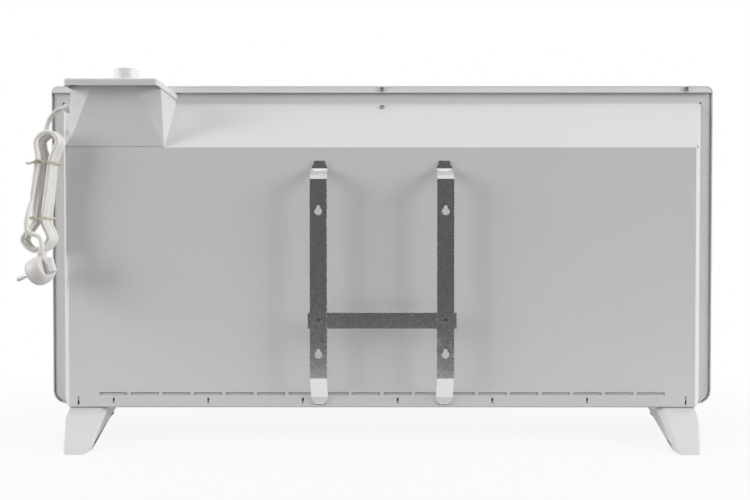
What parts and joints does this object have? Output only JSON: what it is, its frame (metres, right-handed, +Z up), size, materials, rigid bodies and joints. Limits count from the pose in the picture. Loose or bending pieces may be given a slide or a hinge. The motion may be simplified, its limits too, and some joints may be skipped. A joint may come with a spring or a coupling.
{
  "type": "convector heater",
  "caption": "Slim panel convector heater with a sloped steel back, top corner control box, wall bracket, moulded feet and a tied mains lead with plug.",
  "frame": {"origin": "on the floor under the middle of the heater, halfway between the front and rear tips of its feet", "axes": "+X towards the control box end, +Y towards the wall (the flat back), +Z up"},
  "size_m": [0.83, 0.203, 0.4403],
  "materials": {
    "painted_steel": "semi-gloss white powder coat",
    "grille_enamel": "satin light grey enamel",
    "white_plastic": "satin moulded",
    "dark_plastic": "moulded",
    "plated_steel": "nickel plated",
    "galvanised_steel": "galvanised",
    "aluminium": "mill finish",
    "cord_jacket": "satin",
    "plug_plastic": "satin moulded",
    "tie_plastic": "plastic coated wire",
    "brown_wire": "satin",
    "blue_wire": "satin"
  },
  "bodies": {
    "casing": {"front_panel": "painted_steel", "rear_cover": "painted_steel", "control_housing": "painted_steel", "control_top_plate": "painted_steel", "outlet_grille_1": "grille_enamel", "outlet_grille_2": "grille_enamel", "outlet_grille_3": "grille_enamel", "thermostat_body": "dark_plastic", "heating_element": "aluminium", "element_holder_left": "galvanised_steel", "element_holder_right": "galvanised_steel", "heat_shield": "galvanised_steel", "thermal_cutout": "dark_plastic", "terminal_block": "white_plastic", "thermostat_wire_1": "brown_wire", "thermostat_wire_2": "blue_wire", "element_wire": "brown_wire", "foot_left": "white_plastic", "foot_right": "white_plastic", "lip_screw_1": "plated_steel", "lip_screw_2": "plated_steel", "lip_screw_3": "plated_steel", "slope_screw": "plated_steel", "foot_screw_left_1": "plated_steel", "foot_screw_left_2": "plated_steel", "foot_screw_right_1": "plated_steel", "foot_screw_right_2": "plated_steel", "cord_gland": "white_plastic", "cord_lead": "cord_jacket", "cord_hank": "cord_jacket", "cord_tail": "cord_jacket", "hank_tie_upper": "tie_plastic", "hank_tie_lower": "tie_plastic", "plug_body": "plug_plastic", "plug_pin_near": "plated_steel", "plug_pin_far": "plated_steel"},
    "control_knob": {"thermostat_knob": "white_plastic", "knob_shaft": "plated_steel"},
    "wall_bracket": {"bracket_upright_left": "galvanised_steel", "bracket_upright_right": "galvanised_steel", "bracket_crossbar": "galvanised_steel", "bracket_rivet_left": "plated_steel", "bracket_rivet_right": "plated_steel"}
  },
  "joints": [
    {"name": "knob_turn", "type": "hinge", "parent": "casing", "child": "control_knob", "pos_m": [0.30605, 0.012, 0.4213], "axis": [0, 0, -1], "range_deg": [0, 270]},
    {"name": "bracket_hinge", "type": "hinge", "parent": "casing", "child": "wall_bracket", "pos_m": [0, 0.0433, 0.0442], "axis": [-1, 0, 0], "range_deg": [0, 25]}
  ]
}
